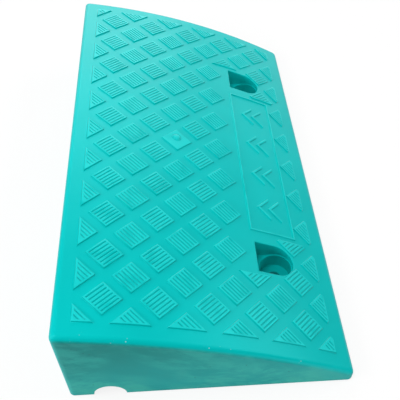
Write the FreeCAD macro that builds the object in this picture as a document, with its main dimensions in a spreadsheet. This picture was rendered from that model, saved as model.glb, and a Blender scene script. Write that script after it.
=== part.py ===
# Plastic kerb ramp, 500 mm long, moulded in one shell with a ribbed underside. Rubber feet grip its ribs.
#
# The ramp stands on the road with +Z up. X runs along the kerb, +Y points to the kerb and -Y to the road.
# The origin is in the middle of the ramp, on the road. Every size is in millimetres.

import FreeCAD
import Part
import Sketcher
import math
import os

SIZES = [
    ("length", 500.0, "along the kerb"),
    ("depth", 262.0, "from the kerb face to the toe"),
    ("kerb_height", 106.0, "road to the sharp top edge at the kerb"),
    ("toe_height", 12.0, "road to the sharp edge at the toe"),
    ("deck_radius", 765.0, "bow of the deck, seen from the end"),
    ("edge_round", 5.0, "round on the outer edges"),
    ("wall", 4.0, "kerb wall, toe wall and end walls"),
    ("skin", 4.0, "thickness of the deck"),
    ("rib", 3.0, "thickness of the ribs"),
    ("cell_count_along", 11, "hollow cells between the end walls"),
    ("cell_count_across", 5, "hollow cells between the channel and the toe"),
    ("channel_inset", 38.0, "kerb face to the middle of the drain channel"),
    ("channel_radius", 15.0, "half-round drain channel"),
    ("channel_land", 3.5, "from the channel to the middle of the ribs beside it"),
    ("end_margin", 17.0, "end of the ramp to the tread"),
    ("kerb_margin", 17.5, "kerb edge to the tread, along the deck"),
    ("toe_margin", 21.0, "toe edge to the tread, along the deck"),
    ("toe_overrun", 2.5, "how far the last row of pads runs on past the middle of its diamonds"),
    ("pad_count_along", 10, "pads in a row along the kerb"),
    ("pad_count_across", 5, "pads in a row across the deck"),
    ("groove", 10.4, "plain groove between pads"),
    ("pad_height", 1.5, "pads above the deck"),
    ("pad_keep_ratio", 0.45, "share of a cut pad that is still worth moulding"),
    ("pad_nick_ratio", 0.01, "share of a pad that may reach into a bare zone"),
    ("panel_length", 220.0, "raised frame, along the kerb"),
    ("panel_width", 55.0, "raised frame, down the deck"),
    ("panel_margin", 37.9, "frame to the toe edge, along the deck"),
    ("panel_bar", 3.0, "width of the frame's bars"),
    ("panel_height", 1.0, "frame above the deck"),
    ("panel_clear", 4.0, "bare deck beside the frame and above it"),
    ("bolt_spacing", 282.0, "between the two fixing bolts"),
    ("bolt_inset", 59.0, "toe face to the fixing bolts"),
    ("bolt_hole", 14.0, "bore for an M12 anchor bolt"),
    ("recess_radius", 17.5, "rounded lower end of a bolt recess"),
    ("recess_back", 20.0, "bolt to the straight upper wall of its recess"),
    ("recess_ledge", 29.0, "road to the ledge in the recess"),
    ("recess_clear", 4.5, "bare deck beside the recess"),
    ("well_radius", 16.0, "round well below the ledge"),
    ("well_floor", 13.0, "road to the floor of the well"),
    ("floor_thickness", 5.0, "floor under the bolt's washer"),
    ("cup_wall", 3.5, "wall round the recess, under the deck"),
    ("foot_width", 14.0, "foot, across the rib that it grips"),
    ("foot_length", 12.0, "foot, along the rib"),
    ("foot_floor", 3.0, "rubber under the rib"),
    ("foot_grip", 6.0, "height of the two lips that grip the rib"),
    ("foot_bevel", 1.0, "bevel on the foot's lower edges"),
    ("foot_proud", 0.8, "feet below the moulding"),
    ("foot_clearance", 0.25, "gap at each end of a foot in its notch"),
    ("outer_foot_rib_number", 1, "rib that carries an outer foot, from the end"),
    ("inner_foot_rib_number", 4, "rib that carries an inner foot, from the end"),
]


class Size:
    """A length that is known both as a number and as a formula on the sheet."""

    def __init__(self, number, text):
        self.number = float(number)
        self.text = text

    def _join(self, other, sign, number):
        text = other.text if isinstance(other, Size) else repr(other)
        return Size(number, "(%s %s %s)" % (self.text, sign, text))

    def __add__(self, other):
        return self._join(other, "+", self.number + plain(other))

    def __sub__(self, other):
        return self._join(other, "-", self.number - plain(other))

    def __mul__(self, other):
        return self._join(other, "*", self.number * plain(other))

    def __truediv__(self, other):
        return self._join(other, "/", self.number / plain(other))

    def __neg__(self):
        return Size(-self.number, "(0 - %s)" % self.text)


def plain(value):
    return value.number if isinstance(value, Size) else float(value)


class Sheet:
    """The driving sizes: dims.length is the size, bound to the spreadsheet's cell of that name."""

    def __init__(self, doc):
        table = doc.addObject("Spreadsheet::Sheet", "dims")
        for row, (name, number, note) in enumerate(SIZES, start=1):
            table.set("A%d" % row, name)
            table.set("B%d" % row, str(number))
            table.set("C%d" % row, note)
            table.setAlias("B%d" % row, name)
            setattr(self, name, Size(number, "dims.%s" % name))
        doc.recompute()


doc = FreeCAD.newDocument("kerb_ramp")
dims = Sheet(doc)

# Names that several pieces share.
half_length = dims.length / 2
half_depth = dims.depth / 2
rib_pitch = (dims.length - dims.wall * 2 + dims.rib) / dims.cell_count_along
first_rib = dims.wall - half_length - dims.rib / 2
channel_y = half_depth - dims.channel_inset
kerb_rib = channel_y + dims.channel_radius + dims.channel_land
low_rib = channel_y - dims.channel_radius - dims.channel_land
across_pitch = (low_rib + half_depth - dims.wall + dims.rib / 2) / dims.cell_count_across
bolt_y = dims.bolt_inset - half_depth
over = dims.kerb_height * 2
zero = Size(0, "0")


def bind(thing, **values):
    """Set properties of an object from sizes, and tie them to the sheet."""
    for name, value in values.items():
        if isinstance(value, Size):
            thing.setExpression(name, value.text)
        else:
            setattr(thing, name, value)


def put(thing, x=0.0, y=0.0, z=0.0):
    """Place an object, tied to the sheet where a size gives its place."""
    thing.Placement = FreeCAD.Placement(FreeCAD.Vector(plain(x), plain(y), plain(z)), FreeCAD.Rotation())
    for axis, value in (("x", x), ("y", y), ("z", z)):
        if isinstance(value, Size):
            thing.setExpression("Placement.Base.%s" % axis, value.text)
    return thing


def box(name, x, y, z):
    """A block between two sizes along each axis."""
    block = doc.addObject("Part::Box", name)
    bind(block, Length=x[1] - x[0], Width=y[1] - y[0], Height=z[1] - z[0])
    return put(block, x[0], y[0], z[0])


def cylinder(name, radius, x, y, z):
    """An upright cylinder between two heights."""
    post = doc.addObject("Part::Cylinder", name)
    bind(post, Radius=radius, Height=z[1] - z[0])
    return put(post, x, y, z[0])


def fuse(name, shapes):
    joined = doc.addObject("Part::MultiFuse", name)
    joined.Shapes = shapes
    return joined


def cut(name, base, tool):
    left = doc.addObject("Part::Cut", name)
    left.Base = base
    left.Tool = tool
    return left


def origin_plane(body, role):
    """One of a body's own origin planes."""
    return [plane for plane in body.Origin.OriginFeatures if plane.Role == role][0]


def new_sketch(body, name, role):
    sketch = body.newObject("Sketcher::SketchObject", name)
    sketch.AttachmentSupport = [(origin_plane(body, role), "")]
    sketch.MapMode = "FlatFace"
    return sketch


def tie_point(sketch, edge, end, across, up):
    """Hold one end of an edge at two sizes from the sketch's origin."""
    for kind, value in (("DistanceX", across), ("DistanceY", up)):
        if abs(plain(value)) < 1e-9:
            on_axis = -2 if kind == "DistanceX" else -1
            sketch.addConstraint(Sketcher.Constraint("PointOnObject", edge, end, on_axis))
            continue
        number = sketch.addConstraint(Sketcher.Constraint(kind, -1, 1, edge, end, plain(value)))
        sketch.setExpression("Constraints[%d]" % number, value.text)


def close_loop(sketch, edges):
    """Join the end of each edge to the start of the next."""
    for first, second in zip(edges, edges[1:] + edges[:1]):
        sketch.addConstraint(Sketcher.Constraint("Coincident", first, 2, second, 1))


def flat(across, up):
    return FreeCAD.Vector(plain(across), plain(up), 0)


def deck_centre():
    """Middle of the circle that the deck follows from the kerb edge to the toe edge, seen from the end."""
    fall = plain(dims.kerb_height - dims.toe_height)
    run = plain(dims.depth)
    chord = math.hypot(run, fall)
    reach = math.sqrt(plain(dims.deck_radius) ** 2 - (chord / 2) ** 2)
    middle_height = plain(dims.kerb_height + dims.toe_height) / 2
    return reach * fall / chord, middle_height - reach * run / chord


def deck_arc(offset, from_y, to_y):
    """Arc beside the deck's circle, from the kerb side to the toe side, for a sketch seen from the end."""
    centre_y, centre_z = deck_centre()
    radius = plain(dims.deck_radius) + offset
    circle = Part.Circle(FreeCAD.Vector(centre_y, centre_z, 0), FreeCAD.Vector(0, 0, 1), radius)
    start = math.acos((from_y - centre_y) / radius)
    end = math.acos((to_y - centre_y) / radius)
    return Part.ArcOfCircle(circle, start, end)


def arc_height(offset, y):
    centre_y, centre_z = deck_centre()
    return centre_z + math.sqrt((plain(dims.deck_radius) + offset) ** 2 - (y - centre_y) ** 2)


def side_sketch(body, name, inset, offset, floor):
    """The ramp seen from its end: floor, kerb wall, bowed deck and toe wall, set in from the outside."""
    sketch = new_sketch(body, name, "YZ_Plane")
    back = half_depth - inset
    front = -back
    top = arc_height(offset, plain(back))
    toe = arc_height(offset, plain(front))
    outline = [
        Part.LineSegment(flat(front, floor), flat(back, floor)),
        Part.LineSegment(flat(back, floor), flat(back, top)),
        deck_arc(offset, plain(back), plain(front)),
        Part.LineSegment(flat(front, toe), flat(front, floor)),
    ]
    edges = list(sketch.addGeometry(outline, False))
    close_loop(sketch, edges)
    sketch.addConstraint(Sketcher.Constraint("Horizontal", edges[0]))
    sketch.addConstraint(Sketcher.Constraint("Vertical", edges[1]))
    sketch.addConstraint(Sketcher.Constraint("Vertical", edges[3]))
    tie_point(sketch, edges[0], 1, front, floor)
    number = sketch.addConstraint(Sketcher.Constraint("DistanceX", -1, 1, edges[0], 2, plain(back)))
    sketch.setExpression("Constraints[%d]" % number, back.text)
    return sketch, edges[2]


def tie_deck(sketch, arc):
    """Hold the outer deck by its two edges and its radius."""
    for end, height in ((1, dims.kerb_height), (2, dims.toe_height)):
        number = sketch.addConstraint(Sketcher.Constraint("DistanceY", -1, 1, arc, end, plain(height)))
        sketch.setExpression("Constraints[%d]" % number, height.text)
    number = sketch.addConstraint(Sketcher.Constraint("Radius", arc, plain(dims.deck_radius)))
    sketch.setExpression("Constraints[%d]" % number, dims.deck_radius.text)


def tie_under_deck(sketch, arc):
    """Hold the inner deck one skin below the outer one, which is drawn again as a guide."""
    guide = sketch.addGeometry(deck_arc(0, plain(half_depth), -plain(half_depth)), True)
    tie_point(sketch, guide, 1, half_depth, dims.kerb_height)
    tie_point(sketch, guide, 2, -half_depth, dims.toe_height)
    number = sketch.addConstraint(Sketcher.Constraint("Radius", guide, plain(dims.deck_radius)))
    sketch.setExpression("Constraints[%d]" % number, dims.deck_radius.text)
    sketch.addConstraint(Sketcher.Constraint("Coincident", guide, 3, arc, 3))
    inner = dims.deck_radius - dims.skin
    number = sketch.addConstraint(Sketcher.Constraint("Radius", arc, inner.number))
    sketch.setExpression("Constraints[%d]" % number, inner.text)


def pad_both_ways(body, name, sketch, length):
    pad = body.newObject("PartDesign::Pad", name)
    pad.Profile = sketch
    pad.SideType = "Symmetric"
    bind(pad, Length=length)
    return pad


def is_outer_edge(edge):
    """The edges that the mould rounds: all of the deck's border and the upright corners."""
    middle = edge.valueAt((edge.FirstParameter + edge.LastParameter) / 2)
    return middle.z > plain(dims.foot_proud * 2)


def outer_form():
    """The ramp as a solid block, with its rounded edges."""
    body = doc.addObject("PartDesign::Body", "outer_form")
    sketch, arc = side_sketch(body, "side_outline", zero, 0.0, dims.foot_proud)
    tie_deck(sketch, arc)
    block = pad_both_ways(body, "block", sketch, dims.length)
    doc.recompute()
    numbered = enumerate(block.Shape.Edges, start=1)
    rounds = body.newObject("PartDesign::Fillet", "edge_rounds")
    rounds.Base = (block, ["Edge%d" % number for number, edge in numbered if is_outer_edge(edge)])
    bind(rounds, Radius=dims.edge_round)
    return body


def hollow_form():
    """The space under the deck, before the ribs and bosses divide it."""
    body = doc.addObject("PartDesign::Body", "hollow_form")
    below = dims.foot_proud - dims.wall
    sketch, arc = side_sketch(body, "hollow_outline", dims.wall, -plain(dims.skin), below)
    tie_under_deck(sketch, arc)
    pad_both_ways(body, "hollow", sketch, dims.length - dims.wall * 2)
    return body


def rib_across(number):
    """Middle of a rib that runs across the ramp, counted from the left end."""
    return first_rib + rib_pitch * number


def ribs():
    """Upright ribs: a set across the ramp at an even pitch, and a set along it beside the channel."""
    made = []
    half_rib = dims.rib / 2
    for number in range(1, int(plain(dims.cell_count_along))):
        place = rib_across(number)
        sides = (place - half_rib, place + half_rib)
        made.append(box("rib_across_%d" % number, sides, (-half_depth, half_depth), (-over, over)))
    places = [low_rib - across_pitch * number for number in range(int(plain(dims.cell_count_across)))]
    for number, place in enumerate([kerb_rib] + places, start=1):
        sides = (place - half_rib, place + half_rib)
        made.append(box("rib_along_%d" % number, (-half_length, half_length), sides, (-over, over)))
    return made


def recess_shape(name, side, grow, heights):
    """A recess, seen from above, is a half circle with a square back. The cup round it is the same."""
    middle = dims.bolt_spacing / 2 * side
    radius = dims.recess_radius + grow
    back = bolt_y + dims.recess_back + grow
    lower = cylinder("%s_round" % name, radius, middle, bolt_y, heights)
    upper = box("%s_back" % name, (middle - radius, middle + radius), (bolt_y, back), heights)
    return fuse(name, [lower, upper])


def foot_places():
    """Names and places of the feet, in the middle of the cells beside the kerb wall and the toe wall."""
    outer = int(plain(dims.outer_foot_rib_number))
    inner = int(plain(dims.inner_foot_rib_number))
    cells = int(plain(dims.cell_count_along))
    columns = [outer, inner, cells - inner, cells - outer]
    inside = half_depth - dims.wall
    kerb_row = (kerb_rib + dims.rib / 2 + inside) / 2
    toe_row = (across_pitch - dims.rib) / 2 - inside
    for row, y in (("kerb", kerb_row), ("toe", toe_row)):
        for number, rib in enumerate(columns, start=1):
            yield "foot_%s_%d" % (row, number), rib_across(rib), y


def under_side():
    """The hollow left between ribs and recess cups."""
    posts = ribs()
    for name, side in (("left", -1), ("right", 1)):
        posts.append(recess_shape("cup_%s" % name, side, dims.cup_wall, (-over, over)))
    return cut("under_side", hollow_form(), fuse("ribs_and_cups", posts))


def deck_point(x, along):
    """Point on the deck at a distance down the deck from the kerb edge, seen from above."""
    centre_y, _ = deck_centre()
    radius = plain(dims.deck_radius)
    start = math.asin((centre_y - plain(half_depth)) / radius)
    return FreeCAD.Vector(x, centre_y - radius * math.sin(start + along / radius), 0)


def deck_length():
    """Length of the deck from the kerb edge to the toe edge."""
    chord = math.hypot(plain(dims.depth), plain(dims.kerb_height - dims.toe_height))
    return 2 * plain(dims.deck_radius) * math.asin(chord / 2 / plain(dims.deck_radius))


def rectangle(x_low, x_high, down_low, down_high):
    """A rectangle on the unrolled deck: x along the kerb, y down the deck."""
    corners = [(x_low, down_low), (x_high, down_low), (x_high, down_high), (x_low, down_high)]
    points = [FreeCAD.Vector(x, y, 0) for x, y in corners]
    return Part.Face(Part.makePolygon(points + points[:1]))


def bare_zones():
    """Parts of the unrolled deck that carry no pads: the framed panel and the bolt recesses."""
    panel = plain(dims.panel_length / 2 + dims.panel_clear)
    end = deck_length() - plain(dims.panel_margin)
    start = end - plain(dims.panel_width + dims.panel_clear)
    recess = plain(dims.bolt_spacing / 2 + dims.recess_radius + dims.recess_clear)
    recess_end = start + plain(dims.recess_radius * 2)
    return [
        (-panel, panel, start, end),
        (-recess, -panel, start, recess_end),
        (panel, recess, start, recess_end),
    ]


def clear_of(pad, zone):
    """A pad after one straight cut beside a bare zone, where the zone reaches it."""
    if pad.common(rectangle(*zone)).Area < plain(dims.pad_nick_ratio) * pad.Area:
        return pad
    x_low, x_high, down_low, down_high = zone
    far = plain(dims.length)
    sides = [
        rectangle(-far, x_low, -far, far),
        rectangle(x_high, far, -far, far),
        rectangle(-far, far, -far, down_low),
        rectangle(-far, far, down_high, far),
    ]
    return max([pad.common(side) for side in sides], key=lambda left: left.Area)


def pad_outlines():
    """Outlines of the square pads, which stand on their corners in two sets, each between the other's."""
    columns = int(plain(dims.pad_count_along))
    rows = int(plain(dims.pad_count_across))
    start = plain(dims.kerb_margin)
    end = deck_length() - plain(dims.toe_margin)
    reach = plain(half_length - dims.end_margin)
    pitch_x = 2 * reach / columns
    pitch_y = (end - start) / rows
    half_x = pitch_x / 2 - plain(dims.groove) / math.sqrt(2)
    half_y = pitch_y / 2 - plain(dims.groove) / math.sqrt(2)
    field = rectangle(-reach, reach, start, end + plain(dims.toe_overrun))
    grid = [(column, row) for column in range(2 * columns + 1) for row in range(2 * rows + 1)]
    for column, row in grid:
        if (column + row) % 2:
            continue
        x = -reach + column * pitch_x / 2
        y = start + row * pitch_y / 2
        tips = [(x - half_x, y), (x, y - half_y), (x + half_x, y), (x, y + half_y), (x - half_x, y)]
        whole = Part.Face(Part.makePolygon([FreeCAD.Vector(a, b, 0) for a, b in tips])).common(field)
        kept = whole
        for zone in bare_zones():
            kept = clear_of(kept, zone)
        if kept.Area > plain(dims.pad_keep_ratio) * whole.Area:
            yield kept.Faces[0].OuterWire


def on_deck(wire):
    """An outline on the unrolled deck as an upright prism through the ramp."""
    points = [deck_point(vertex.X, vertex.Y) for vertex in wire.OrderedVertexes]
    return Part.Face(Part.makePolygon(points + points[:1])).extrude(FreeCAD.Vector(0, 0, plain(over)))


def deck_layer(height):
    """A thin layer on the deck, rooted in its skin and as high as given."""
    root = plain(dims.skin) / 2
    back = plain(half_depth - dims.edge_round)
    ends = [(-root, back), (height, back), (height, -back), (-root, -back)]
    corners = [FreeCAD.Vector(0, y, arc_height(offset, y)) for offset, y in ends]
    turned = FreeCAD.Rotation(FreeCAD.Vector(1, 1, 1), 120)
    arcs = []
    for offset in (height, -root):
        arc = deck_arc(offset, back, -back).toShape()
        arc.Placement = FreeCAD.Placement(FreeCAD.Vector(), turned)
        arcs.append(arc)
    sides = [Part.makeLine(corners[0], corners[1]), Part.makeLine(corners[2], corners[3])]
    wire = Part.Wire(Part.__sortEdges__([arcs[0], sides[1], arcs[1], sides[0]]))
    reach = plain(half_length - dims.edge_round)
    layer = Part.Face(wire).extrude(FreeCAD.Vector(2 * reach, 0, 0))
    layer.translate(FreeCAD.Vector(-reach, 0, 0))
    return layer


def tread_pads():
    """The raised pads, cut from a layer on the deck."""
    prisms = Part.makeCompound([on_deck(wire) for wire in pad_outlines()])
    pads = doc.addObject("Part::Feature", "tread_pads")
    pads.Shape = deck_layer(plain(dims.pad_height)).common(prisms)
    return pads


def panel_frame():
    """The raised frame between the bolt recesses."""
    reach = plain(dims.panel_length / 2)
    end = deck_length() - plain(dims.panel_margin)
    start = end - plain(dims.panel_width)
    bar = plain(dims.panel_bar)
    outer = on_deck(rectangle(-reach, reach, start, end).OuterWire)
    inner = on_deck(rectangle(bar - reach, reach - bar, start + bar, end - bar).OuterWire)
    frame = doc.addObject("Part::Feature", "panel_frame")
    frame.Shape = deck_layer(plain(dims.panel_height)).common(outer.cut(inner))
    return frame


def openings():
    """All that is cut from the moulding: recesses, wells, bores, the channel and the feet's notches."""
    base = dims.foot_proud
    cuts = []
    for name, side in (("left", -1), ("right", 1)):
        x = dims.bolt_spacing / 2 * side
        under_floor = dims.well_floor - dims.floor_thickness
        cuts.append(recess_shape("recess_%s" % name, side, zero, (dims.recess_ledge, over)))
        cuts.append(cylinder("well_%s" % name, dims.well_radius, x, bolt_y, (dims.well_floor, over)))
        cuts.append(cylinder("bolt_bore_%s" % name, dims.bolt_hole / 2, x, bolt_y, (-over, over)))
        relief = dims.well_radius - dims.cup_wall
        cuts.append(cylinder("floor_relief_%s" % name, relief, x, bolt_y, (-over, under_floor)))
    channel = doc.addObject("Part::Cylinder", "drain_channel")
    bind(channel, Radius=dims.channel_radius, Height=dims.length * 2)
    channel.Placement.Rotation = FreeCAD.Rotation(FreeCAD.Vector(0, 1, 0), 90)
    channel.Placement.Base = FreeCAD.Vector(-plain(dims.length), plain(channel_y), plain(base))
    channel.setExpression("Placement.Base.x", (-dims.length).text)
    channel.setExpression("Placement.Base.y", channel_y.text)
    channel.setExpression("Placement.Base.z", base.text)
    cuts.append(channel)
    room = dims.foot_length / 2 + dims.foot_clearance
    for name, x, y in foot_places():
        sides = (x - dims.rib, x + dims.rib)
        cuts.append(box("notch_%s" % name, sides, (y - room, y + room), (-over, dims.foot_floor)))
    return fuse("openings", cuts)


def ramp_moulding():
    """The whole moulded shell: bowed deck with its tread, walls, ribs, bolt cups and drain channel."""
    shell = cut("ribbed_shell", outer_form(), under_side())
    dressed = fuse("dressed_shell", [shell, tread_pads(), panel_frame()])
    return cut("ramp_moulding", dressed, openings())


def foot(name, x, y):
    """A rubber foot: a short length of a U profile, pressed up over the notched edge of a rib."""
    body = doc.addObject("PartDesign::Body", name)
    sketch = new_sketch(body, "%s_outline" % name, "XZ_Plane")
    side = dims.foot_width / 2
    groove = dims.rib / 2
    floor = dims.foot_floor
    top = floor + dims.foot_grip
    bevel = dims.foot_bevel
    points = [
        (bevel - side, zero),
        (side - bevel, zero),
        (side, bevel),
        (side, top),
        (groove, top),
        (groove, floor),
        (-groove, floor),
        (-groove, top),
        (-side, top),
        (-side, bevel),
    ]
    ends = zip(points, points[1:] + points[:1])
    lines = [Part.LineSegment(flat(*first), flat(*second)) for first, second in ends]
    edges = list(sketch.addGeometry(lines, False))
    close_loop(sketch, edges)
    for edge, (across, up) in zip(edges, points):
        tie_point(sketch, edge, 1, across, up)
    pad_both_ways(body, "%s_profile" % name, sketch, dims.foot_length)
    return put(body, x, y)


def check(parts):
    """Stop before anything is written if an object has failed or a piece isn't one sound solid."""
    for thing in doc.Objects:
        if "Invalid" in thing.State or "Error" in thing.State:
            raise RuntimeError("%s has failed: %s" % (thing.Name, thing.State))
    for part in parts:
        if part.Shape.isNull() or not part.Shape.isValid() or len(part.Shape.Solids) != 1:
            raise RuntimeError("%s isn't one sound solid" % part.Label)


def export(parts):
    os.makedirs("parts", exist_ok=True)
    for part in parts:
        part.Shape.exportStep("parts/%s.step" % part.Label)
        print("%-16s %8.1f cm3" % (part.Label, part.Shape.Volume / 1000))


pieces = [ramp_moulding()]
pieces += [foot(name, x, y) for name, x, y in foot_places()]
doc.recompute()
check(pieces)
export(pieces)
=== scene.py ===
# %% [markdown]
# # A plastic kerb ramp
# This lesson builds the looks of a moulded kerb ramp: a hollow wedge with a bowed deck, a tread of
# slotted diamond pads, a framed panel and two recessed bolt wells. The imported model fixes every outer
# size, so the script starts by loading it and reads its sizes from it.

import math

import bmesh
import bpy
from mathutils import Matrix, Vector


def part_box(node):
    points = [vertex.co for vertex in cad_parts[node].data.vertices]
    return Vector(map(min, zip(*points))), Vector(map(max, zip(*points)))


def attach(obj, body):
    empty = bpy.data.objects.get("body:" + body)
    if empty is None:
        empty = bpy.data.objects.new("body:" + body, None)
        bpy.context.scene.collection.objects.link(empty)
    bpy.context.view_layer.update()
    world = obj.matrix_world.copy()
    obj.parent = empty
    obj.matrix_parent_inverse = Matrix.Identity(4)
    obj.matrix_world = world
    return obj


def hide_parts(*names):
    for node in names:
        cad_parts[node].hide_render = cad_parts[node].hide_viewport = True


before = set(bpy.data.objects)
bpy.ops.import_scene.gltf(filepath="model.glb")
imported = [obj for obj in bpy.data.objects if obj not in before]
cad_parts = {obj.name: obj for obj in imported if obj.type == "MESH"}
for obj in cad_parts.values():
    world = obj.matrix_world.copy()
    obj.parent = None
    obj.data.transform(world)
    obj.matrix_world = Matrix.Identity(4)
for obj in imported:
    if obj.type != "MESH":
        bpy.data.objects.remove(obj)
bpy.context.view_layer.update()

# %% [markdown]
# ## Camera
# The photograph was taken from above the near end, looking along the ramp. The camera stands there and
# aims at a point on the deck. A small shift does what the photographer's crop did.

# %% Camera
camera_place = Vector((-0.4825, 0.0240, 0.5257))
camera_aim = Vector((-0.0811, 0.0101, 0.0600))
camera_roll = math.radians(-1.45)
bpy.ops.object.camera_add(location=camera_place)
camera = bpy.context.object
camera.data.sensor_width = 36.0
camera.data.lens = 53.72
camera.data.shift_x = 0.0249
camera.data.shift_y = 0.0187
camera.data.clip_start = 0.01
facing = (camera_aim - camera_place).to_track_quat("-Z", "Y").to_matrix()
camera.rotation_euler = (facing @ Matrix.Rotation(camera_roll, 3, "Z")).to_euler()
bpy.context.scene.camera = camera
print("camera", round((camera_aim - camera_place).length, 3), "m from its aim")

# %% [markdown]
# ## Sizes
# Blender works in metres. The outer sizes come from the frame. The others are those of the real ramp, and
# the deck's circle follows from its two edges and its radius.

# %% Sizes
mm = 0.001
low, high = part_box("ramp_moulding")
length = high.x - low.x
depth = high.y - low.y
floor = low.z
half_length = length / 2
half_depth = depth / 2

kerb_height = 106 * mm
toe_height = 12 * mm
deck_radius = 765 * mm
edge_round = 5 * mm
wall = 4 * mm
skin = 4 * mm
rib = 3 * mm

fall = kerb_height - toe_height
chord = math.hypot(depth, fall)
reach = math.sqrt(deck_radius ** 2 - (chord / 2) ** 2)
centre_y = reach * fall / chord
centre_z = (kerb_height + toe_height) / 2 - reach * depth / chord
start_angle = math.asin((centre_y - half_depth) / deck_radius)
deck_length = 2 * deck_radius * math.asin(chord / 2 / deck_radius)
first_slope = round(math.degrees(start_angle), 1)
print("deck", round(deck_length / mm, 1), "mm long, first slope", first_slope, "degrees")

# %% [markdown]
# ## Helpers
# An operator acts on everything that is selected, so each helper first makes one piece the only selected
# one. Faces and edges are then picked in code, by their place or by the angle that they make.

# %% Helpers for objects
def alone(piece):
    """Make one piece the active and only selected object."""
    bpy.ops.object.select_all(action="DESELECT")
    piece.select_set(True)
    bpy.context.view_layer.objects.active = piece


def named(name):
    """Name the object that an operator has just added."""
    piece = bpy.context.object
    piece.name = name
    piece.data.name = name
    return piece


def settle(piece):
    """Move a piece's place, turn and scale into its mesh."""
    alone(piece)
    bpy.ops.object.transform_apply(location=True, rotation=True, scale=True)


def modify(piece, kind, **settings):
    """Add a modifier, set it and apply it."""
    alone(piece)
    bpy.ops.object.modifier_add(type=kind)
    modifier = piece.modifiers[-1]
    for name, value in settings.items():
        setattr(modifier, name, value)
    bpy.ops.object.modifier_apply(modifier=modifier.name)


def combine(piece, tools, operation):
    """Cut pieces out of another one, or add them to it, and remove them."""
    for tool in tools:
        modify(piece, "BOOLEAN", operation=operation, solver="EXACT", object=tool)
        bpy.data.objects.remove(tool)
    return piece


def carve(piece, *tools):
    return combine(piece, tools, "DIFFERENCE")


def unite(piece, *tools):
    return combine(piece, tools, "UNION")


def join(name, pieces):
    """Make one object of several."""
    alone(pieces[0])
    for piece in pieces:
        piece.select_set(True)
    if len(pieces) > 1:
        bpy.ops.object.join()
    return named(name)

# %% [markdown]
# ## Helpers in edit mode
# In edit mode an operator acts on the selected vertices, edges or faces. These helpers enter and leave
# that mode, pick by a test, and cut with a plane.

# %% Helpers for edit mode
def edit(piece):
    """Enter edit mode with all of a piece selected."""
    alone(piece)
    bpy.ops.object.mode_set(mode="EDIT")
    bpy.ops.mesh.select_mode(type="FACE")
    bpy.ops.mesh.select_all(action="SELECT")


def done():
    bpy.ops.object.mode_set(mode="OBJECT")


def pick(piece, kind, test):
    """In edit mode, select the vertices, edges or faces that pass a test, and nothing else."""
    bpy.ops.mesh.select_mode(type=kind)
    bpy.ops.mesh.select_all(action="DESELECT")
    mesh = bmesh.from_edit_mesh(piece.data)
    items = {"VERT": mesh.verts, "EDGE": mesh.edges, "FACE": mesh.faces}[kind]
    chosen = [item for item in items if test(item)]
    for item in chosen:
        item.select_set(True)
    mesh.select_flush_mode()
    bmesh.update_edit_mesh(piece.data)
    return len(chosen)


def slice_off(place, outwards, fill=False):
    """Cut what is selected with a plane and remove the side that the plane faces."""
    bpy.ops.mesh.select_all(action="SELECT")
    bpy.ops.mesh.bisect(plane_co=place, plane_no=outwards, clear_outer=True, use_fill=fill)


def middle(edge):
    return (edge.verts[0].co + edge.verts[1].co) / 2


def is_corner(edge, least=0.5):
    """An edge between two faces that turn by more than an angle."""
    return len(edge.link_faces) == 2 and edge.calc_face_angle(0) > least

# %% [markdown]
# ## Bending a flat piece onto the deck
# The tread is easiest to draw on a flat sheet: x along the kerb, -y down the slope, z above the deck.
# Simple Deform's Bend wraps a length that runs along z round a circle, so the sheet is stood up, bent and
# then laid on the deck by turning it about the circle's middle.

# %% Bend
def bend_to_deck(piece):
    """Bend a flat piece round the deck's circle and lay it in place."""
    piece.rotation_euler.x = math.radians(90)
    settle(piece)
    heights = [vertex.co.z for vertex in piece.data.vertices]
    span = max(heights) - min(heights)
    modify(piece, "SIMPLE_DEFORM", deform_method="BEND", deform_axis="X", angle=span / deck_radius)
    piece.location.y = -deck_radius
    settle(piece)
    piece.rotation_euler.x = start_angle - math.radians(90)
    piece.location = (0, centre_y, centre_z)
    settle(piece)
    return piece


def above_deck(point):
    """Distance of a point from the deck's circle."""
    return math.hypot(point.y - centre_y, point.z - centre_z) - deck_radius

# %% [markdown]
# ## The shell
# The real ramp is one moulding, about 4 mm thick. A sheet that is bent to the bow becomes a block when it
# is extruded and its floor is flattened. A bevel makes the round edges that the mould has.

# %% Block under a bent sheet
def bowed_block(name, reach_x, height, strips, back, bottom):
    """A block under a sheet that follows the deck at a height, between two upright walls."""
    bpy.ops.mesh.primitive_grid_add(x_subdivisions=1, y_subdivisions=strips, size=1)
    block = named(name)
    block.scale = (2 * reach_x, deck_length, 1)
    block.location = (0, -deck_length / 2, height)
    settle(block)
    bend_to_deck(block)
    edit(block)
    if back < half_depth:
        slice_off((0, back, 0), (0, 1, 0))
        slice_off((0, -back, 0), (0, -1, 0))
    bpy.ops.mesh.select_all(action="SELECT")
    bpy.ops.mesh.extrude_region_move()
    bpy.ops.transform.resize(value=(1, 1, 0), center_override=(0, 0, bottom))
    bpy.ops.mesh.select_all(action="SELECT")
    bpy.ops.mesh.normals_make_consistent(inside=False)
    done()
    return block


deck_strips = 40
shell = bowed_block("ramp_shell", half_length, 0, deck_strips, half_depth, floor)
above_floor = floor + 1 * mm


def off_the_floor(edge):
    """A corner edge that doesn't lie on the floor."""
    return is_corner(edge) and max(v.co.z for v in edge.verts) > above_floor


edit(shell)
rounded = pick(shell, "EDGE", off_the_floor)
kerb_corner = math.radians(90) - abs(start_angle)
round_width = 2 * edge_round * math.cos(kerb_corner / 2)
bpy.ops.mesh.bevel(offset_type="WIDTH", offset=round_width, segments=6, affect="EDGES")
done()
print("block", len(shell.data.polygons), "faces after rounding", rounded, "edges")

# %% [markdown]
# ## The hollow and its ribs
# Seen from below, upright ribs divide the hollow into cells. The hollow is made as a block of its own.
# The ribs are cut out of it first, and what is left is then cut out of the shell. An Array modifier
# repeats a rib.

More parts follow.
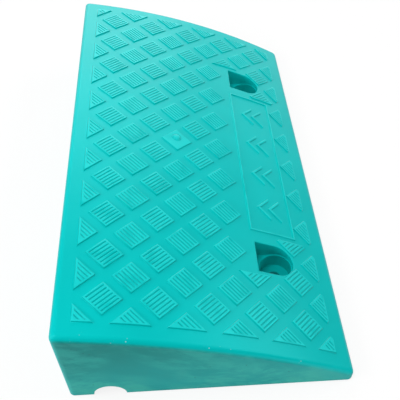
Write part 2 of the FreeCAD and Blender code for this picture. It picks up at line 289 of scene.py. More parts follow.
# %% Rib sizes
cells_along = 11
cells_across = 5
channel_place = 93 * mm
channel_radius = 15 * mm
channel_rib = channel_radius + 3.5 * mm
rib_pitch = (length - 2 * wall + rib) / cells_along
low_rib = channel_place - channel_rib
across_pitch = (low_rib + half_depth - wall + rib / 2) / cells_across
tall = 2 * kerb_height
print("cells", round(rib_pitch / mm, 1), "by", round(across_pitch / mm, 1), "mm")


def cuboid(name, size, place):
    """A block of a size, with its middle at a place."""
    bpy.ops.mesh.primitive_cube_add(size=1, location=place)
    block = named(name)
    block.scale = size
    settle(block)
    return block


def row(piece, count, step):
    """Repeat a piece by a step."""
    modify(
        piece, "ARRAY", count=count, use_relative_offset=False,
        use_constant_offset=True, constant_offset_displace=step,
    )
    return piece

# %% [markdown]
# ## Making the ribs
# One rib is a thin upright block, and an Array modifier repeats it at the pitch of the cells. The real
# mould has a slot for each rib. Cutting the ribs out of the hollow leaves them standing in the shell,
# with their tops joined to the deck.

# %% Ribs
first_rib = wall - half_length - rib / 2 + rib_pitch
last_rib = low_rib - across_pitch * (cells_across - 1)
across = cuboid("ribs_across", (rib, 2 * depth, tall), (first_rib, 0, 0))
row(across, cells_along - 1, (rib_pitch, 0, 0))
along = cuboid("ribs_along", (2 * length, rib, tall), (0, last_rib, 0))
row(along, cells_across, (0, across_pitch, 0))
kerb_rib = cuboid("rib_by_kerb", (2 * length, rib, tall), (0, channel_place + channel_rib, 0))
hollow_strips = 32
hollow = bowed_block("hollow", half_length - wall, -skin, hollow_strips, half_depth - wall, floor - wall)
carve(hollow, across, along, kerb_rib)
print("hollow", len(hollow.data.polygons), "faces in", cells_along * (cells_across + 2), "cells")

# %% [markdown]
# ## Bolt recesses
# Each recess is a half circle with a straight back, and a round well goes on down from its ledge. Below
# the deck a cup of the same shape holds it. A cylinder that is halved, filled and extruded gives both.

# %% Recess sizes
bolt_x = 141 * mm
bolt_y = -72 * mm
recess_radius = 17.5 * mm
recess_back = 20 * mm
recess_ledge = 29 * mm
well_radius = 16 * mm
well_floor = 13 * mm
floor_thickness = 5 * mm
cup_wall = 3.5 * mm
bolt_radius = 7 * mm


def post(name, radius, place, bottom, top, sides=64):
    """An upright cylinder between two heights."""
    bpy.ops.mesh.primitive_cylinder_add(
        vertices=sides, radius=radius, depth=top - bottom, location=(place[0], place[1], (bottom + top) / 2)
    )
    return named(name)


def recess_prism(name, side, grow, bottom, top):
    """The recess as a solid, or its cup where it is grown."""
    prism = post(name, recess_radius + grow, (side * bolt_x, bolt_y), bottom, top)
    settle(prism)
    edit(prism)
    slice_off((0, bolt_y, 0), (0, 1, 0), fill=True)
    bpy.ops.mesh.extrude_region_move(TRANSFORM_OT_translate={"value": (0, recess_back + grow, 0)})
    bpy.ops.mesh.select_all(action="SELECT")
    bpy.ops.mesh.normals_make_consistent(inside=False)
    done()
    return prism


def both_sides(name, make):
    """The same tool at the left and the right bolt, as one object."""
    return join(name, [make("%s_left" % name, -1), make("%s_right" % name, 1)])


def round_tools(name, radius, bottom, top, sides=64):
    """An upright cylinder at each bolt."""
    def make(each, side):
        return post(each, radius, (side * bolt_x, bolt_y), bottom, top, sides)

    return both_sides(name, make)


def recess_tools(name, grow, bottom, top):
    """A recess at each bolt."""
    return both_sides(name, lambda each, side: recess_prism(each, side, grow, bottom, top))

# %% [markdown]
# ## Cutting the openings
# The cup is the recess grown by its wall, so carving it out of the hollow leaves plastic round the
# recess. Recess, well, bore and the relief under the well's floor are united first, because one clean
# tool cuts better than four that overlap.

# %% Openings
carve(hollow, recess_tools("cups", cup_wall, -tall, tall))
openings = recess_tools("recesses", 0, recess_ledge, tall)
wells = round_tools("wells", well_radius, well_floor, tall)
bores = round_tools("bores", bolt_radius, -tall, tall, 48)
reliefs = round_tools("reliefs", well_radius - cup_wall, -tall, well_floor - floor_thickness)
unite(openings, wells, bores, reliefs)
print("bolt openings", len(openings.data.polygons), "faces")

# %% [markdown]
# ## Drain channel and foot notches
# A half-round channel runs right through, so that water can pass along the kerb. The ribs have a notch
# where a rubber foot grips them.

# %% Channel and notches
bpy.ops.mesh.primitive_cylinder_add(
    vertices=64, radius=channel_radius, depth=2 * length, location=(0, channel_place, floor),
    rotation=(0, math.radians(90), 0),
)
channel = named("channel")
foot_names = [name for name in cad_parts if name.startswith("foot_")]
foot_clearance = 0.25 * mm
foot_floor = 3 * mm
notches = []
for name in foot_names:
    foot_low, foot_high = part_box(name)
    place = (foot_low + foot_high) / 2
    size = (2 * rib, foot_high.y - foot_low.y + 2 * foot_clearance, 2 * foot_floor)
    notches.append(cuboid("notch_%s" % name, size, (place.x, place.y, 0)))
unite(openings, channel, join("notches", notches))
carve(shell, hollow, openings)
print("shell", len(shell.data.polygons), "faces with", len(foot_names), "notches")

# %% [markdown]
# ## Soft mouths and clean normals
# The mould leaves a small round where a recess meets the deck. The edges that lie on the deck and turn
# sharply are bevelled. Weighted normals keep the wide faces flat beside narrow rounds.

# %% Finish the shell
mouth_round = 0.9 * mm
touching = 0.05 * mm


def at_mouth(edge):
    """An edge of a recess that lies on the deck."""
    spot = middle(edge)
    near = abs(abs(spot.x) - bolt_x) < recess_radius + 1 * mm and abs(spot.y - bolt_y) < recess_back + 1 * mm
    return near and is_corner(edge) and all(abs(above_deck(v.co)) < touching for v in edge.verts)


def smooth(piece, angle=35):
    """Shade a piece smooth but for its sharp edges, and let its wide faces lead the normals."""
    alone(piece)
    bpy.ops.object.shade_smooth_by_angle(angle=math.radians(angle))
    modify(piece, "WEIGHTED_NORMAL", keep_sharp=True, weight=80)


edit(shell)
bpy.ops.mesh.remove_doubles(threshold=0.002 * mm)
count = pick(shell, "EDGE", at_mouth)
bpy.ops.mesh.bevel(offset=mouth_round, segments=3, affect="EDGES", clamp_overlap=False)
done()
smooth(shell)
print("mouths", count, "edges, shell", len(shell.data.polygons), "faces")

# %% [markdown]
# ## The tread
# The pads stand on their corners in two sets. Each pad is drawn flat: a diamond, one inset for every step
# of its rounded side, and one more for its rim. Planes then cut the field inside the rim, and every other
# strip sinks to make a slot. Pads of the same shape are modelled once and copied.

# %% Tread sizes
end_margin = 17 * mm
kerb_margin = 17.5 * mm
toe_margin = 21 * mm
toe_overrun = 2.5 * mm
pads_along = 10
pads_across = 5
groove = 10.4 * mm
pad_keep = 0.45
rim = 1.0 * mm
inner_ridges = 5
ridge = 1.75 * mm
sunk = 0.25 * mm
# Steps in millimetres, each inwards and upwards. A pad flares out into the deck, rises and is rounded over.
flare_steps = [(0.55, 0.25), (0.35, 0.25), (0.20, 0.45), (0.15, 0.45)]
round_steps = [(0.25, 0.25), (0.30, 0.10)]
slot_steps = [(0.20, -0.24), (0.20, -0.32), (0.20, -0.12)]

field_x = half_length - end_margin
field_top = -kerb_margin
field_bottom = toe_margin - deck_length
pitch_x = 2 * field_x / pads_along
pitch_y = (field_top - field_bottom) / pads_across
half_x = pitch_x / 2 - groove / math.sqrt(2)
half_y = pitch_y / 2 - groove / math.sqrt(2)
pad_width = 2 * half_x * half_y / math.hypot(half_x, half_y)


def reach_of(steps):
    """How far a set of steps goes inwards."""
    return sum(inwards for inwards, _ in steps) * mm


flare = reach_of(flare_steps)
slot_slope = reach_of(slot_steps)
field_width = pad_width - 2 * (reach_of(round_steps) + rim)
slot = (field_width - inner_ridges * ridge) / (inner_ridges + 1)
print("pads", round(pad_width / mm, 1), "mm wide, slots", round(slot / mm, 2), "mm")

# %% [markdown]
# ## Where the deck stays bare
# No pads stand beside the panel or round the recesses. Each bare zone is a rectangle on the flat sheet,
# and a pad that reaches into one is cut along a straight line beside it.

# %% Bare zones
panel_length = 220 * mm
panel_width = 55 * mm
panel_start = deck_length - panel_width - 37.9 * mm
panel_clear = 4 * mm
recess_clear = 4.5 * mm

panel_edge = panel_length / 2 + panel_clear
recess_edge = bolt_x + recess_radius + recess_clear
zone_top = panel_clear - panel_start
panel_bottom = -(panel_start + panel_width)
recess_bottom = zone_top - 2 * recess_radius
zones = [
    (-panel_edge, panel_edge, panel_bottom, zone_top),
    (-recess_edge, -panel_edge, recess_bottom, zone_top),
    (panel_edge, recess_edge, recess_bottom, zone_top),
]
print(len(zones), "bare zones")


def trimmed(corners, axis, limit, sign):
    """A convex outline without what lies beyond a limit along an axis."""
    kept = []
    for first, second in zip(corners, corners[1:] + corners[:1]):
        a = sign * (limit - first[axis])
        b = sign * (limit - second[axis])
        if a >= 0:
            kept.append(first)
        if a * b < 0:
            kept.append(first.lerp(second, a / (a - b)))
    return kept


def area(corners):
    """Area of an outline."""
    pairs = zip(corners, corners[1:] + corners[:1])
    return abs(sum(a.x * b.y - a.y * b.x for a, b in pairs)) / 2

# %% [markdown]
# ## Choosing the pads
# A pad's outline starts as a diamond and loses what lies past the edge of the field or in a bare zone.
# Where less than about half is left, the real mould has no pad, and neither has this one.

# %% Which pads there are
def zone_cuts(zone):
    """The four straight cuts beside a bare zone, each as axis, limit and sign."""
    left, right, bottom, top = zone
    return [(0, left, 1), (0, right, -1), (1, bottom, 1), (1, top, -1)]


def in_zone(corners, zone):
    """Area of the part of an outline that a zone covers."""
    left, right, bottom, top = zone
    for cut in ((0, left, -1), (0, right, 1), (1, bottom, -1), (1, top, 1)):
        corners = trimmed(corners, *cut)
    return area(corners) if len(corners) > 2 else 0


def pad_corners(x, y):
    """The corners of a pad at a place, after the cuts beside it, or None where no pad is left."""
    centre = Vector((x, y))
    steps = ((-half_x, 0), (0, -half_y), (half_x, 0), (0, half_y))
    corners = [centre + Vector(step) for step in steps]
    for cut in ((0, -field_x, -1), (0, field_x, 1), (1, field_bottom - toe_overrun, -1), (1, field_top, 1)):
        corners = trimmed(corners, *cut)
    whole = area(corners)
    for zone in zones:
        if in_zone(corners, zone) > 0.01 * whole:
            cut = max(zone_cuts(zone), key=lambda one: area(trimmed(corners, *one)))
            corners = trimmed(corners, *cut)
            if area(corners) < pad_keep * whole:
                return None
    return corners

# %% [markdown]
# ## Modelling one pad
# A pad is cut out of a large plane, one edge at a time. Insets raise it step by step, so that its side
# flares out into the deck as in the mould. Inside the rim, bisecting planes mark the slots, and every
# slot face is inset downwards to sloping sides.

# %% One pad
def insets(steps):
    """Inset the selected faces once for each step, given in millimetres inwards and upwards."""
    for inwards, upwards in steps:
        bpy.ops.mesh.inset(thickness=inwards * mm, depth=upwards * mm, use_even_offset=True)


def sink_slots(pad, lean):
    """Cut the selected field into strips and sink every other one."""
    across = Vector((half_y, lean * half_x, 0)).normalized()
    bpy.ops.mesh.hide(unselected=True)
    for number in range(inner_ridges):
        start = (number + 1) * slot + number * ridge - field_width / 2
        for offset in (start, start + ridge):
            bpy.ops.mesh.select_all(action="SELECT")
            bpy.ops.mesh.bisect(plane_co=across * offset, plane_no=across)

    def is_slot(face):
        if face.hide:
            return False
        offset = face.calc_center_median().dot(across) + field_width / 2
        narrow = 2 * face.calc_area() / face.calc_perimeter()
        return offset % (slot + ridge) < slot and narrow > 1.8 * slot_slope

    pick(pad, "FACE", is_slot)
    for inwards, upwards in slot_steps:
        bpy.ops.mesh.inset(thickness=inwards * mm, depth=upwards * mm, use_individual=True)
    bpy.ops.mesh.reveal(select=False)


def model_pad(name, corners, lean, plain=False):
    """A pad round the origin, with the corners given at its side and its slots leaning one way."""
    bpy.ops.mesh.primitive_plane_add(size=4 * pitch_y, location=(0, 0, -sunk))
    pad = named(name)
    settle(pad)
    edit(pad)
    for first, second in zip(corners, corners[1:] + corners[:1]):
        along = Vector((second[0] - first[0], second[1] - first[1], 0))
        if along.length > sunk:
            outwards = along.normalized().cross(Vector((0, 0, 1)))
            slice_off(Vector((first[0], first[1], -sunk)) + outwards * flare, outwards)
    bpy.ops.mesh.select_all(action="SELECT")
    insets(flare_steps + round_steps + [(rim / mm, 0)])
    if not plain:
        sink_slots(pad, lean)
    done()
    return pad

# %% [markdown]
# ## Laying out the tread
# The columns and lines of the grid alternate, which makes the two sets of diamonds. Their slots lean left
# in one set and right in the other. The pad with the gate mark has no slots. The finished sheet is bent
# to the deck in one go, so every pad keeps its outline.

# %% Lay out the pads
gate_pad = (pads_along, 4)  # its column and line
models = {}
pads = []
for column in range(2 * pads_along + 1):
    for line in range(2 * pads_across + 1):
        x = column * pitch_x / 2 - field_x
        y = field_top - line * pitch_y / 2
        corners = pad_corners(x, y) if (column + line) % 2 == 0 else None
        if corners is None:
            continue
        lean = 1 if column % 2 else -1
        plain = (column, line) == gate_pad
        local = tuple((round(corner.x - x, 6), round(corner.y - y, 6)) for corner in corners)
        key = (local, lean, plain)
        if key not in models:
            models[key] = model_pad("pad_model_%d" % len(models), local, lean, plain)
        alone(models[key])
        bpy.ops.object.duplicate()
        pad = bpy.context.object
        pad.location = (x, y, 0)
        pads.append(pad)
for model in models.values():
    bpy.data.objects.remove(model)
tread = join("tread_pads", pads)
settle(tread)
bend_to_deck(tread)
smooth(tread, 60)
print(len(pads), "pads of", len(models), "shapes,", len(tread.data.polygons), "faces")

# %% [markdown]
# ## Framed panel
# Between the bolts a thin raised frame marks a panel. Chevrons fill it, plain arrows that point up the
# ramp. A frame is a face that is inset to raise a bar and inset again to come back down. Half of a square
# frame that stands on its corner makes a chevron.

# %% Raised bars
# Steps in millimetres, each inwards and upwards.
bar_steps = [(0.50, 0.25), (0.30, 0.55), (0.25, 0.60), (0.30, 0.30)]
bar_sunk = 0.2 * mm
frame_top = 1.0 * mm
chevron_top = 1.7 * mm


def raise_bars(bars, top):
    """Turn a flat face into a frame of raised bars with a flat top of a width."""
    edit(bars)
    way_down = [(inwards, -upwards) for inwards, upwards in reversed(bar_steps)]
    insets(bar_steps + [(top / mm, 0)] + way_down)
    bpy.ops.mesh.delete(type="FACE")
    done()
    return bars


def flat_face(name, size, place, diamond=False):
    """A flat rectangle, or a diamond that stands on its corner, a little below the deck."""
    bpy.ops.mesh.primitive_circle_add(vertices=4, radius=1, fill_type="NGON")
    face = named(name)
    if not diamond:
        face.rotation_euler.z = math.radians(45)
        settle(face)
        size = (size[0] / math.sqrt(2), size[1] / math.sqrt(2))
    face.scale = (size[0], size[1], 1)
    face.location = (place[0], place[1], -bar_sunk)
    settle(face)
    return face


def divide_down(piece, count, top, bottom):
    """Cut long edges into short ones, so that a flat piece can bend."""
    edit(piece)
    for number in range(1, count):
        bpy.ops.mesh.select_all(action="SELECT")
        y = top + (bottom - top) * number / count
        bpy.ops.mesh.bisect(plane_co=(0, y, 0), plane_no=(0, 1, 0))
    done()

# %% [markdown]
# ## The frame and its chevrons
# The frame's long bars would stay straight when the deck bends, so the flat sheet is cut into strips
# first. The chevrons come in pairs, evenly spaced, each pair one above the other.

# %% Panel
panel_middle = -(panel_start + panel_width / 2)
panel = flat_face("panel_frame", (panel_length, panel_width), (0, panel_middle))
raise_bars(panel, frame_top)
chevron_reach = 21 * mm
chevron_fall = 16 * mm
chevron_step = 13 * mm
chevron_pitch = 50 * mm
chevron_pairs = 4
first_tip = panel_middle + 15 * mm
panel_strips = 12


def chevron(x, tip):
    """An arrow of two raised bars that points up the ramp, with its tip at a height on the flat sheet."""
    mark = flat_face("chevron", (chevron_reach, chevron_reach), (x, tip - chevron_reach), diamond=True)
    raise_bars(mark, chevron_top)
    edit(mark)
    slice_off((0, tip - chevron_fall, 0), (0, -1, 0), fill=True)
    done()
    return mark


marks = [panel]
for number in range(chevron_pairs):
    x = (number - (chevron_pairs - 1) / 2) * chevron_pitch
    for tip in (first_tip, first_tip - chevron_step):
        marks.append(chevron(x, tip))
panel = join("panel_frame", marks)
divide_down(panel, panel_strips, -panel_start, -panel_start - panel_width)
bend_to_deck(panel)
smooth(panel, 60)
print("panel", len(panel.data.polygons), "faces")

# %% [markdown]
# ## The mark of the gate
# Plastic enters the mould through a gate near the middle of the ramp and leaves a small round mark there.
# A flattened ball makes its dome, and a thin ring surrounds it.

# %% Gate mark
gate_x = 3.8 * mm
gate_y = -113.7 * mm
gate_radius = 4.4 * mm
gate_flatness = 0.32
gate_rise = 1.4 * mm
gate_base = 1.2 * mm
ring_gap = 0.6 * mm
ring_radius = 0.5 * mm
ring_rise = 1.5 * mm
bpy.ops.mesh.primitive_uv_sphere_add(segments=32, ring_count=16, radius=gate_radius)
gate = named("gate_mark")
gate.scale.z = gate_flatness
gate.location = (gate_x, gate_y, gate_rise)
settle(gate)
edit(gate)
slice_off((0, 0, gate_base), (0, 0, -1))
done()
bpy.ops.mesh.primitive_torus_add(
    major_segments=48, minor_segments=12, major_radius=gate_radius + ring_gap, minor_radius=ring_radius,
    location=(gate_x, gate_y, ring_rise),
)
ring = named("gate_ring")
settle(ring)
gate = join("gate_mark", [gate, ring])
bend_to_deck(gate)
smooth(gate, 60)
print("gate mark", len(gate.data.polygons), "faces")

# %% [markdown]
# ## Materials
# The ramp is moulded in one turquoise plastic, so one material does for all of it. A real moulding is
# never quite even: its colour drifts a little, the melt leaves cloudy flow marks on the end walls, and
# handling leaves fine scratches and pale scuffs along the edges. Each of these is a mask made from the
# place on the piece. Shader maths is easier to read as an expression, so a small class adds the nodes for
# it.

# %% Shader helpers
class Wire:
    """A socket that adds Math nodes when it is used in an expression."""

    def __init__(self, nodes, socket):
        self.nodes = nodes
        self.socket = socket

    def math(self, operation, first, second=0.0):
        return self.nodes.node("ShaderNodeMath", {"operation": operation}, [first, second])

    def __add__(self, other):
        return self.math("ADD", self, other)

    __radd__ = __add__

    def __mul__(self, other):
        return self.math("MULTIPLY", self, other)

    __rmul__ = __mul__

    def __sub__(self, other):
        return self.math("SUBTRACT", self, other)

    def __rsub__(self, other):
        return self.math("SUBTRACT", other, self)

    def __rpow__(self, other):
        return self.math("POWER", other, self)

    def __pow__(self, other):
        return self.math("POWER", self, other)

    def between(self, low, high):
        """0 below one value, 1 above another one, and a soft step between them."""
        settings = {"interpolation_type": "SMOOTHSTEP"}
        return self.nodes.node("ShaderNodeMapRange", settings, {0: self, 1: low, 2: high})


class Nodes:
    """A node tree that is filled node by node."""

    def __init__(self, tree):
        self.tree = tree

    def node(self, kind, settings=None, inputs=(), output=0):
        """Add a node: its settings first, then its inputs, by name or by number."""
        node = self.tree.nodes.new(kind)
        for name, value in (settings or {}).items():
            setattr(node, name, value)
        pairs = inputs.items() if isinstance(inputs, dict) else enumerate(inputs)
        for name, value in pairs:
            self.feed(node.inputs[name], value)
        return Wire(self, node.outputs[output])

    def feed(self, socket, value):
        if isinstance(value, Wire):
            self.tree.links.new(value.socket, socket)
        else:
            socket.default_value = value

    def noise(self, where, scale, detail=2.0, stretch=(1, 1, 1), roughness=0.5):
        """Cloudy noise, which may be stretched along an axis."""
        placed = self.node("ShaderNodeMapping", {}, {"Vector": where, "Scale": stretch})
        values = {"Vector": placed, "Scale": scale, "Detail": detail, "Roughness": roughness}
        return self.node("ShaderNodeTexNoise", {}, values)

    def mix(self, factor, first, second):
        """Mix two colours."""
        return self.node("ShaderNodeMix", {"data_type": "RGBA"}, {0: factor, 6: first, 7: second}, output=2)

    def split(self, vector):
        """The three parts of a vector."""
        parts = self.node("ShaderNodeSeparateXYZ", {}, [vector])
        return [Wire(self, socket) for socket in parts.socket.node.outputs]


class Finish(Nodes):
    """A material and its nodes."""

    def __init__(self, name):
        self.material = bpy.data.materials.new(name)
        self.material.use_nodes = True
        super().__init__(self.material.node_tree)
        self.shader = self.tree.nodes["Principled BSDF"]

    def set(self, **values):
        """Set inputs of the Principled shader, with _ for the blanks in their names."""
        for name, value in values.items():
            self.feed(self.shader.inputs[name.replace("_", " ")], value)

    def paint(self, piece):
        piece.data.materials.clear()
        piece.data.materials.append(self.material)

# %% [markdown]
# ## Colour of the plastic
# The colours are named first. A slow noise lets the turquoise drift a little between two tones, as
# pigment does in a melt.

# %% Plastic colour
plastic = Finish("turquoise_plastic")
place = plastic.node("ShaderNodeTexCoord", output="Object")
x, y, z = plastic.split(place)
turquoise = (0.0, 0.545, 0.535, 1)
deep_turquoise = (0.0, 0.490, 0.480, 1)
milky_turquoise = (0.06, 0.62, 0.54, 1)
chalk = (0.50, 0.72, 0.70, 1)
dirt = (0.0, 0.11, 0.10, 1)
black = (0, 0, 0, 1)
white = (1, 1, 1, 1)
drift = plastic.noise(place, 6.0, 3.0)
colour = plastic.mix(drift.between(0.3, 0.7), deep_turquoise, turquoise)
print("plain plastic", len(plastic.tree.nodes), "nodes")

# %% [markdown]
# ## Painted highlights on the tops and painted shade in the slots
# The tops of the ridges and rims are painted a lighter tone, a painted highlight in the place of glints,
# and the slots and the feet of the pads are painted darker, a painted shade. The height above the deck's
# circle tells the two apart, so the mask follows the tread without any image.

# %% Painted highlights on the tops and painted shade in the slots
lift = ((y - centre_y) ** 2 + (z - centre_z) ** 2) ** 0.5 - deck_radius
highlight_breakup = plastic.noise(place, 45.0, 2.0)
# Painted highlight: the tops of the ridges and rims are painted lighter, broken up by a noise.
painted_crest_highlight = lift.between(1.22 * mm, 1.46 * mm)
# Painted shade: the slots and the feet of the pads are painted darker.
painted_slot_shade = lift.between(0.15 * mm, 0.6 * mm) * (1 - lift.between(0.9 * mm, 1.3 * mm))
highlight_turquoise = (0.012, 0.630, 0.615, 1)
shaded_slot_turquoise = (0.0, 0.400, 0.390, 1)
colour = plastic.mix(painted_crest_highlight * highlight_breakup.between(0.25, 0.55) * 0.85, colour, highlight_turquoise)
colour = plastic.mix(painted_slot_shade * 0.6, colour, shaded_slot_turquoise)
print("worn tops and slots", len(plastic.tree.nodes), "nodes")

# %% [markdown]
# ## Flow marks on the end walls
# The melt meets the end walls last and leaves cloudy streaks there. A noise that is pushed about by
# another one gives them, and a mask keeps them on the outer faces. The milky marks are made stronger low
# down, partly real and partly a painted light in the place of the floor's bounce. The upper part of the
# wall is painted darker, a painted shade under the deck's edge, and a few dark specks sit in it.

# %% Flow marks, painted shade and painted bounce light on the end walls
side = x.math("ABSOLUTE", x)
on_end_wall = side.between(half_length - 1.2 * mm, half_length - 0.2 * mm)
swirl = plastic.noise(place, 11.0, 1.0)
push = plastic.mix(swirl * 0.05, black, white)
bent = plastic.node("ShaderNodeVectorMath", {"operation": "ADD"}, [place, push])
tilted = plastic.node("ShaderNodeMapping", {}, {"Vector": bent, "Rotation": (-0.6, 0, 0)})
streaks = plastic.noise(tilted, 20.0, 6.0, (1, 0.8, 2.2), 0.65)
wisps = plastic.noise(bent, 110.0, 4.0, (1, 0.3, 1.5), 0.7)
cloud = plastic.noise(tilted, 11.0, 2.0, (1, 0.8, 1.8))
flow = cloud.between(0.36, 0.60) * (streaks * 0.6 + wisps * 0.4).between(0.40, 0.60)
high_up = (z * 10.0 + y * 1.5).between(0.0, 1.1)
# Real flow marks and painted bounce light: the milky marks are painted stronger low down.
flow_and_painted_bounce = on_end_wall * (flow * 1.3 + 0.04) * (1 - high_up * 0.6)
# Painted shade: the upper part of each end wall is painted darker.
shaded_wall_turquoise = (0.0, 0.31, 0.29, 1)
painted_wall_shade = high_up * 0.9 + streaks.between(0.62, 0.40) * 0.1
colour = plastic.mix(on_end_wall * painted_wall_shade, colour, shaded_wall_turquoise)
colour = plastic.mix(flow_and_painted_bounce * 0.9, colour, milky_turquoise)
specks = plastic.node("ShaderNodeTexVoronoi", {}, {"Vector": place, "Scale": 150.0})
rare = plastic.noise(place, 60.0, 1.0)
dark_specks = on_end_wall * (1 - specks.between(0.05, 0.13)) * rare.between(0.58, 0.62)
colour = plastic.mix(dark_specks * 0.7, colour, dirt)
print("flow marks", len(plastic.tree.nodes), "nodes")

# %% [markdown]
# ## Scuffs and scratches
# Pale chips line the edges that knock against things, and fine scratches cross the deck. A Voronoi
# pattern gives round chips, and a folded ramp of coordinates gives long thin lines.

# %% Scuffs and scratches
end_edge = side.between(half_length - 9 * mm, half_length - 3 * mm) * (1 - on_end_wall)
chips = plastic.node("ShaderNodeTexVoronoi", {}, {"Vector": place, "Scale": 210.0})
scuffs = end_edge * (1 - chips.between(0.05, 0.16)) * rare.between(0.52, 0.58)
colour = plastic.mix(scuffs * 0.6, colour, chalk)
waver = plastic.noise(place, 9.0, 2.0)
line = plastic.node("ShaderNodeMath", {"operation": "PINGPONG"}, [x * 9.0 + y * 2.0 + waver * 0.8, 1.0])
scratch_spots = plastic.noise(place, 30.0, 1.0)
scratches = (1 - line.between(0.0, 0.012)) * scratch_spots.between(0.60, 0.66)
colour = plastic.mix(scratches * 0.35, colour, deep_turquoise)
print("plastic colour", len(plastic.tree.nodes), "nodes")

# %% [markdown]
# ## Grain and gloss
# The mould's texture is a fine grain over a slow ripple. It goes into a bump, while the gloss drops where
# the plastic is cloudy or scuffed. A tinted reflection keeps the turquoise full.

# %% Plastic surface
grain = plastic.noise(place, 1300.0, 2.0)
ripple = plastic.noise(place, 22.0, 2.0)
surface = grain * 0.12 + ripple * 0.9 - scratches * 0.15 - dark_specks * 0.2
fine_bump = plastic.node("ShaderNodeBump", {}, {"Height": surface, "Strength": 0.35, "Distance": 0.0006})
gloss = 0.3 + drift * 0.08 + flow_and_painted_bounce * 0.15 + scuffs * 0.2
plastic.set(Base_Color=colour, Roughness=gloss, Normal=fine_bump)
plastic.set(Specular_IOR_Level=0.36, Specular_Tint=(0.1, 1.0, 1.0, 1.0))
moulded = (shell, tread, panel, gate)
for piece in moulded:
    plastic.paint(piece)
print("plastic", len(plastic.tree.nodes), "nodes")

# %% [markdown]
# ## Rubber
# Rubber is nearly black and dull. Its only pattern is a fine grain in the roughness.

# %% Rubber
rubber = Finish("foot_rubber")
where = rubber.node("ShaderNodeTexCoord", output="Object")
grain = rubber.node("ShaderNodeTexNoise", {}, {"Vector": where, "Scale": 900.0, "Detail": 3.0})
rubber.set(Base_Color=(0.02, 0.02, 0.02, 1), Roughness=0.65 + grain * 0.2)
print("rubber", len(rubber.tree.nodes), "nodes")

# %% [markdown]
# ## Rubber feet
# Eight clips of soft black rubber sit on the lower edges of the ribs, so that the ramp doesn't slide.
# Each is a short U profile: a block that is rounded with a bevel, with a wide groove cut in its top for
# the rib and three thin ones across its sole for grip. One foot is modelled and the others are copies of
# it.

# %% Foot
foot_grip = 6 * mm
foot_round = 1 * mm
sole_cut = 0.8 * mm
sole_cuts = 3
first_low, first_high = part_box(foot_names[0])
foot_size = first_high - first_low
sole = first_low.z


def foot_shape():
    """A foot round the origin, with its groove along y."""
    middle_height = sole + foot_size.z / 2
    foot = cuboid("foot", foot_size, (0, 0, middle_height))
    groove_height = foot_grip + foot_floor
    groove_middle = sole + foot_floor + groove_height / 2
    edit(foot)
    outer = foot_size.x / 2 - 0.01 * mm
    pick(foot, "EDGE", lambda edge: all(abs(v.co.x) > outer for v in edge.verts))
    bpy.ops.mesh.bevel(offset=foot_round, segments=3, affect="EDGES")
    done()
    cuts = [cuboid("foot_groove", (rib, 2 * foot_size.y, groove_height), (0, 0, groove_middle))]
    for number in range(sole_cuts):
        y = (number - 1) * foot_size.y / 4
        cuts.append(cuboid("sole_groove", (2 * foot_size.x, sole_cut, sole_cut), (0, y, sole)))
    return carve(foot, *cuts)


feet = []
model = foot_shape()
for name in foot_names:
    foot_low, foot_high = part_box(name)
    alone(model)
    bpy.ops.object.duplicate()
    foot = named("rubber_%s" % name)
    foot.location = ((foot_low.x + foot_high.x) / 2, (foot_low.y + foot_high.y) / 2, 0)
    settle(foot)
    smooth(foot, 40)
    rubber.paint(foot)
    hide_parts(name)
    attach(foot, "root")
    feet.append(foot)
bpy.data.objects.remove(model)
print(len(feet), "feet of", len(feet[0].data.polygons), "faces")

# %% [markdown]
# ## What rides on what
# Nothing on a kerb ramp moves, so every piece rides on the root body. The shell takes the place of the
# moulding's solid.

# %% Rides
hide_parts("ramp_moulding")
for piece in moulded:
    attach(piece, "root")
print(len(moulded), "moulded pieces and", len(feet), "feet ride on the root")

# %% [markdown]
# ## The floor
# A pale floor catches the shadow. Its look for the camera is nearly white, while it sends a plain grey
# light back to the ramp.

# %% Floor
bpy.ops.mesh.primitive_plane_add(size=6)
ground = named("floor")
paper = Finish("pale_floor")
camera_ray = paper.node("ShaderNodeLightPath", output="Is Camera Ray")
pale = paper.mix(camera_ray, (0.5, 0.5, 0.5, 1), (0.9, 0.9, 0.9, 1))
paper.set(Base_Color=pale, Roughness=0.9)
paper.paint(ground)
matt = Wire(paper, paper.shader.outputs[0])
glow = paper.node("ShaderNodeEmission", {}, {"Color": (1, 1, 1, 1), "Strength": 1.0})
blend = paper.node("ShaderNodeMixShader", {}, [camera_ray * 0.85, matt, glow])
paper.feed(paper.tree.nodes["Material Output"].inputs["Surface"], blend)
print("floor", len(paper.tree.nodes), "nodes")

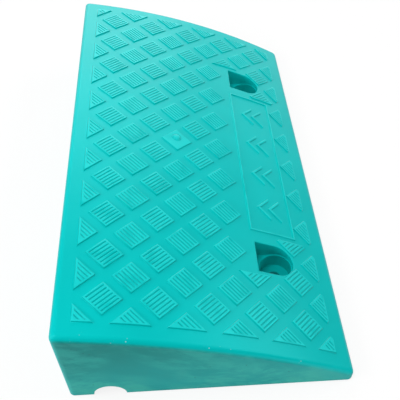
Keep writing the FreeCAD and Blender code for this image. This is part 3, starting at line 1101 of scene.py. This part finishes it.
# %% [markdown]
# ## The world
# The world lights the ramp dimly from all sides. Reflections alone see it bright beyond the far end, like
# a white studio backdrop, which gives the far pads their haze.

# %% World
dim = 0.22
world = bpy.data.worlds.new("studio")
bpy.context.scene.world = world
world.use_nodes = True
sky = Nodes(world.node_tree)
glossy_ray = sky.node("ShaderNodeLightPath", output="Is Glossy Ray")
away = sky.split(sky.node("ShaderNodeTexCoord", output="Generated"))[0]
limits = {"From Min": 0.60, "From Max": 0.88, "To Min": 0.1, "To Max": 1.8}
backdrop = sky.node("ShaderNodeMapRange", {"interpolation_type": "SMOOTHSTEP"}, {"Value": away, **limits})
strength = sky.node("ShaderNodeMapRange", {}, {"Value": glossy_ray, "To Min": dim, "To Max": backdrop})
background = sky.tree.nodes["Background"]
sky.feed(background.inputs["Color"], white)
sky.feed(background.inputs["Strength"], strength)
print("world", len(sky.tree.nodes), "nodes")

# %% [markdown]
# ## The lamps
# Four soft lamps and one small reflector light the ramp. The strip above the kerb draws the lines of the
# tread, and the others fill its shade.

# %% Lamps
def lamp(name, place, aim, size, power):
    """A soft lamp of a width and a height."""
    bpy.ops.object.light_add(type="AREA", location=place)
    light = bpy.context.object
    light.name = name
    light.data.shape = "RECTANGLE"
    light.data.size = size[0]
    light.data.size_y = size[1]
    light.data.energy = power
    light.rotation_euler = (Vector(aim) - Vector(place)).to_track_quat("-Z", "Y").to_euler()
    return light


middle_of_deck = (0, 0, 0.05)
lamp("kerb_strip", (-0.5, 1.5, 1.0), middle_of_deck, (1.6, 0.4), 19)
lamp("top_softbox", (-0.3, 0.6, 1.9), middle_of_deck, (0.7, 0.7), 15)
lamp("road_softbox", (0.2, -1.4, 1.2), middle_of_deck, (1.4, 0.8), 13)
lamp("far_window", (1.6, 0.0, 1.0), middle_of_deck, (1.2, 1.0), 9)
lamp("low_reflector", (-0.6, -0.35, 0.05), (-0.25, -0.1, 0.02), (0.3, 0.1), 0.3)
bpy.context.scene.view_settings.view_transform = "Standard"
print(len(bpy.data.lights), "lamps")
